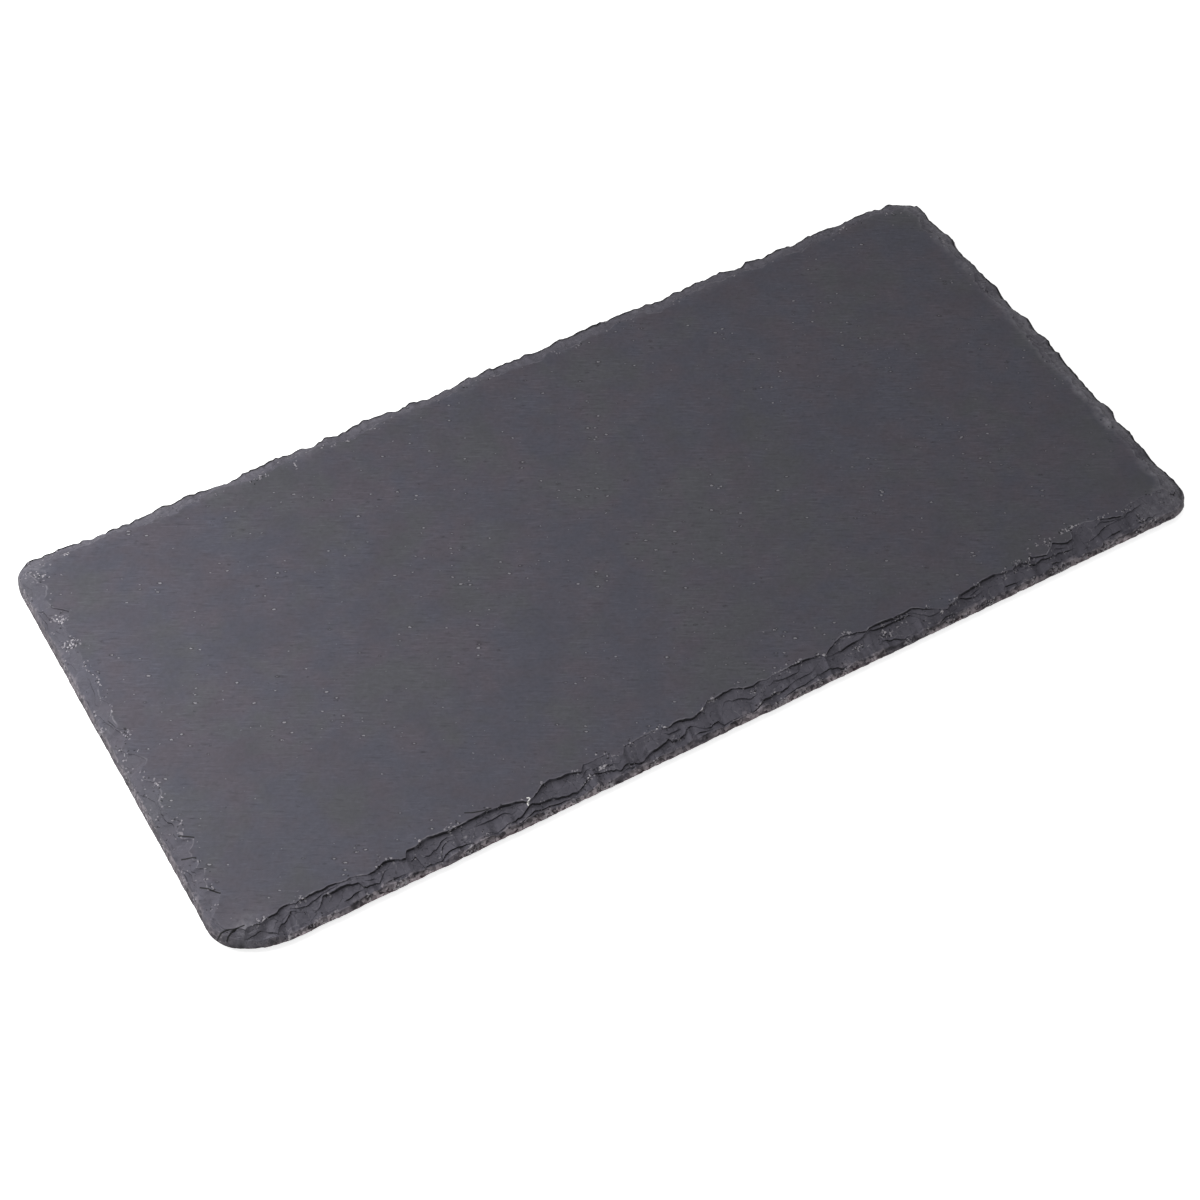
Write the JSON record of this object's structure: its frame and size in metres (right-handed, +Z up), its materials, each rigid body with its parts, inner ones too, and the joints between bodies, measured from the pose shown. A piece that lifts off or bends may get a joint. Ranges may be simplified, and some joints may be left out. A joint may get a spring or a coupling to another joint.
{
  "type": "slate serving board",
  "caption": "Rectangular riven slate board with hand-dressed chipped edges and trimmed corners, on low glued foot pads, for serving and displaying food.",
  "frame": {"origin": "middle of the board's outline, on the plane that the foot pads stand on", "axes": "+X to the right along the long sides, +Y to the back across the board, +Z up out of the serving face"},
  "size_m": [0.3, 0.145, 0.007],
  "materials": {
    "slate": "matt riven slate, fresh breaks along the dressed edge",
    "foot": "die-cut closed-cell rubber, matt",
    "film": "translucent adhesive film"
  },
  "bodies": {
    "root": {"slate": "slate", "foot_front_left": "foot", "foot_front_right": "foot", "foot_back_right": "foot", "foot_back_left": "foot", "film_front_left": "film", "film_front_right": "film", "film_back_right": "film", "film_back_left": "film"}
  },
  "joints": []
}
